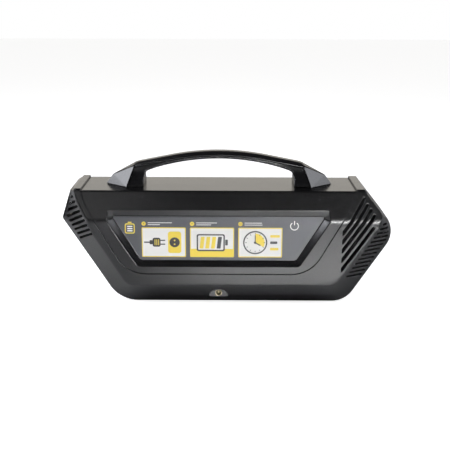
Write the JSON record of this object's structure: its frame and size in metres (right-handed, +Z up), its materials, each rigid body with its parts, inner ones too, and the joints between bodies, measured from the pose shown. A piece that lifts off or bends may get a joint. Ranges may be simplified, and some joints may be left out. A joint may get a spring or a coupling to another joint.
{
  "type": "portable power pack",
  "caption": "Long six-sided moulded power pack with bevelled, vented ends, an arched carry handle, a sunk instruction plate and a round charging socket.",
  "frame": {"origin": "centre of the bounding box, at the flat bottom of the case", "axes": "+X along the case to the right as seen from the front, +Y from the front to the back, +Z up"},
  "size_m": [0.3994, 0.0998, 0.1849],
  "materials": {
    "case": "fine moulded grain",
    "handle": "fine moulded grain",
    "printed_plate": "satin print",
    "socket_bezel": "satin",
    "socket_brass": "plated, dull",
    "socket_insulator": "plain",
    "cells": "sleeved cells in a tray",
    "holder": "plain",
    "busbar": "nickel plated",
    "foam": "foam",
    "circuit_board": "solder mask",
    "heat_sink": "plain",
    "fuse": "moulded",
    "lead_red": "insulated wire",
    "lead_black": "insulated wire",
    "steel": "zinc plated"
  },
  "bodies": {
    "root": {"front_housing": "case", "rear_housing": "case", "centre_cover": "case", "rear_panel": "case", "vent_screen": "holder", "instruction_plate": "printed_plate", "handle_top_shell": "handle", "handle_grip": "handle", "socket_bezel": "socket_bezel", "socket_barrel": "socket_brass", "socket_insulator": "socket_insulator", "socket_pin": "socket_brass", "socket_nut": "steel", "cell_tray": "cells", "cell_keeper": "holder", "busbar_front_1": "busbar", "busbar_front_2": "busbar", "busbar_front_3": "busbar", "busbar_front_4": "busbar", "busbar_front_5": "busbar", "busbar_rear_1": "busbar", "busbar_rear_2": "busbar", "busbar_rear_3": "busbar", "busbar_rear_4": "busbar", "busbar_rear_5": "busbar", "busbar_rear_6": "busbar", "front_pad": "foam", "floor_pad": "foam", "rear_pad": "foam", "board_bracket": "holder", "protection_board": "circuit_board", "heat_sink": "heat_sink", "fuse": "fuse", "board_screw_1": "steel", "board_screw_2": "steel", "board_screw_3": "steel", "board_screw_4": "steel", "positive_lead": "lead_red", "negative_lead": "lead_black", "case_screw_1": "steel", "case_screw_2": "steel", "case_screw_3": "steel", "case_screw_4": "steel", "case_screw_5": "steel", "case_screw_6": "steel", "cover_screw_1": "steel", "cover_screw_2": "steel", "cover_screw_3": "steel", "cover_screw_4": "steel", "handle_screw_1": "steel", "handle_screw_2": "steel", "handle_screw_3": "steel", "handle_screw_4": "steel"}
  },
  "joints": []
}
